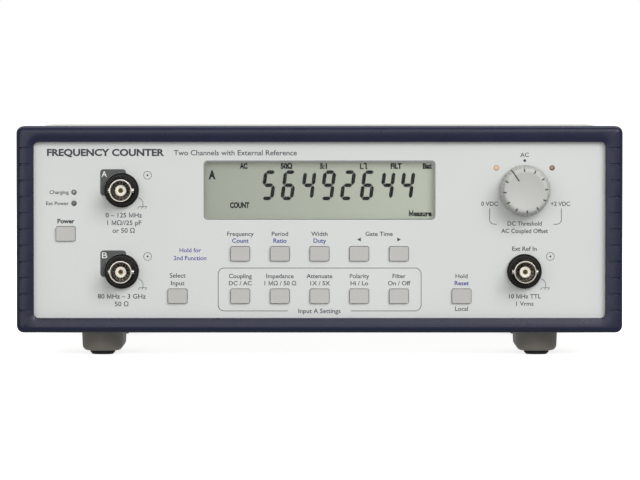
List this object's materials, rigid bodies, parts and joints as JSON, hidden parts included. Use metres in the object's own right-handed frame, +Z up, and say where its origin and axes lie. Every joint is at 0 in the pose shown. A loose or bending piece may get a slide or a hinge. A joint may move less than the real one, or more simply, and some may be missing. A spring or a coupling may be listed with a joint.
{
  "type": "bench frequency counter",
  "caption": "Half-rack bench frequency counter: a box with a bezelled control panel, display window, keys, coaxial sockets, a threshold knob and feet with fold-out legs.",
  "frame": {"origin": "on the table under the middle of the whole object, knob included", "axes": "+X to the viewer's right, +Y from the control panel to the back, +Z up"},
  "size_m": [0.261, 0.245, 0.0995],
  "materials": {
    "navy_plastic": "satin",
    "panel_plastic": "fine matte",
    "cover_plastic": "fine texture",
    "knob_plastic": "satin",
    "key_plastic": "satin",
    "clear_window": "clear",
    "display_glass": "satin polariser",
    "screw_steel": "zinc plated",
    "foot_plastic": "satin",
    "pad_rubber": "matte",
    "shaft_metal": "turned",
    "insulator_white": "waxy",
    "contact_brass": "plated",
    "connector_black": "moulded",
    "connector_nickel": "nickel plated",
    "lamp_amber": "diffusing",
    "lamp_grey": "diffusing",
    "frame_black": "moulded",
    "strip_rubber": "matte",
    "board_green": "solder mask",
    "component_black": "moulded",
    "can_metal": "drawn",
    "socket_metal": "plated",
    "cell_wrap": "printed sleeve",
    "cable_grey": "ribbed"
  },
  "bodies": {
    "case": {"front_bezel": "navy_plastic", "front_panel": "panel_plastic", "rear_panel": "panel_plastic", "top_cover": "cover_plastic", "bottom_cover": "cover_plastic", "display_window": "clear_window", "lcd_glass": "display_glass", "case_screws": "screw_steel", "foot_screws": "screw_steel", "board_screws": "screw_steel", "foot_front_left": "foot_plastic", "foot_front_right": "foot_plastic", "foot_rear_left": "foot_plastic", "foot_rear_right": "foot_plastic", "foot_pads": "pad_rubber", "pot_body": "component_black", "bnc_insulators": "insulator_white", "bnc_contacts": "contact_brass", "lcd_frame": "frame_black", "lcd_contact_strips": "strip_rubber", "main_board": "board_green", "rear_board": "board_green", "key_switches": "component_black", "board_components": "component_black", "shield_can": "can_metal", "timebase_oscillator": "can_metal", "usb_socket": "socket_metal", "dc_jack": "component_black", "battery_holder": "frame_black", "battery_cells": "cell_wrap", "ribbon_cable": "cable_grey", "cable_sockets": "component_black", "led_charging": "lamp_grey", "led_ext_power": "lamp_grey", "led_threshold_low": "lamp_amber", "led_threshold_high": "lamp_amber", "bnc_a_housing": "connector_black", "bnc_a_shell": "connector_nickel", "bnc_b_housing": "connector_black", "bnc_b_shell": "connector_nickel", "bnc_ref_housing": "connector_black", "bnc_ref_shell": "connector_nickel"},
    "key_power": {"key_power": "key_plastic"},
    "key_select_input": {"key_select_input": "key_plastic"},
    "key_hold": {"key_hold": "key_plastic"},
    "key_frequency": {"key_frequency": "key_plastic"},
    "key_period": {"key_period": "key_plastic"},
    "key_width": {"key_width": "key_plastic"},
    "key_gate_down": {"key_gate_down": "key_plastic"},
    "key_gate_up": {"key_gate_up": "key_plastic"},
    "key_coupling": {"key_coupling": "key_plastic"},
    "key_impedance": {"key_impedance": "key_plastic"},
    "key_attenuator": {"key_attenuator": "key_plastic"},
    "key_polarity": {"key_polarity": "key_plastic"},
    "key_filter": {"key_filter": "key_plastic"},
    "knob": {"threshold_knob": "knob_plastic", "pot_shaft": "shaft_metal"},
    "leg_left": {"tilt_leg_left": "foot_plastic"},
    "leg_right": {"tilt_leg_right": "foot_plastic"}
  },
  "joints": [
    {"name": "key_power_press", "type": "slide", "parent": "case", "child": "key_power", "axis": [0, 1, 0], "range_m": [0, 0.0008], "stiffness_N_per_m": 300, "springref_m": -0.002},
    {"name": "key_select_input_press", "type": "slide", "parent": "case", "child": "key_select_input", "axis": [0, 1, 0], "range_m": [0, 0.0008], "stiffness_N_per_m": 300, "springref_m": -0.002},
    {"name": "key_hold_press", "type": "slide", "parent": "case", "child": "key_hold", "axis": [0, 1, 0], "range_m": [0, 0.0008], "stiffness_N_per_m": 300, "springref_m": -0.002},
    {"name": "key_frequency_press", "type": "slide", "parent": "case", "child": "key_frequency", "axis": [0, 1, 0], "range_m": [0, 0.0008], "stiffness_N_per_m": 300, "springref_m": -0.002},
    {"name": "key_period_press", "type": "slide", "parent": "case", "child": "key_period", "axis": [0, 1, 0], "range_m": [0, 0.0008], "stiffness_N_per_m": 300, "springref_m": -0.002},
    {"name": "key_width_press", "type": "slide", "parent": "case", "child": "key_width", "axis": [0, 1, 0], "range_m": [0, 0.0008], "stiffness_N_per_m": 300, "springref_m": -0.002},
    {"name": "key_gate_down_press", "type": "slide", "parent": "case", "child": "key_gate_down", "axis": [0, 1, 0], "range_m": [0, 0.0008], "stiffness_N_per_m": 300, "springref_m": -0.002},
    {"name": "key_gate_up_press", "type": "slide", "parent": "case", "child": "key_gate_up", "axis": [0, 1, 0], "range_m": [0, 0.0008], "stiffness_N_per_m": 300, "springref_m": -0.002},
    {"name": "key_coupling_press", "type": "slide", "parent": "case", "child": "key_coupling", "axis": [0, 1, 0], "range_m": [0, 0.0008], "stiffness_N_per_m": 300, "springref_m": -0.002},
    {"name": "key_impedance_press", "type": "slide", "parent": "case", "child": "key_impedance", "axis": [0, 1, 0], "range_m": [0, 0.0008], "stiffness_N_per_m": 300, "springref_m": -0.002},
    {"name": "key_attenuator_press", "type": "slide", "parent": "case", "child": "key_attenuator", "axis": [0, 1, 0], "range_m": [0, 0.0008], "stiffness_N_per_m": 300, "springref_m": -0.002},
    {"name": "key_polarity_press", "type": "slide", "parent": "case", "child": "key_polarity", "axis": [0, 1, 0], "range_m": [0, 0.0008], "stiffness_N_per_m": 300, "springref_m": -0.002},
    {"name": "key_filter_press", "type": "slide", "parent": "case", "child": "key_filter", "axis": [0, 1, 0], "range_m": [0, 0.0008], "stiffness_N_per_m": 300, "springref_m": -0.002},
    {"name": "threshold_turn", "type": "hinge", "parent": "case", "child": "knob", "pos_m": [0.0884, -0.109, 0.0717], "axis": [0, 1, 0], "range_deg": [-116, 184]},
    {"name": "leg_left_fold", "type": "hinge", "parent": "case", "child": "leg_left", "pos_m": [-0.0945, -0.072, 0.006], "axis": [-1, 0, 0], "range_deg": [0, 95]},
    {"name": "leg_right_fold", "type": "hinge", "parent": "case", "child": "leg_right", "pos_m": [0.0945, -0.072, 0.006], "axis": [-1, 0, 0], "range_deg": [0, 95]}
  ]
}
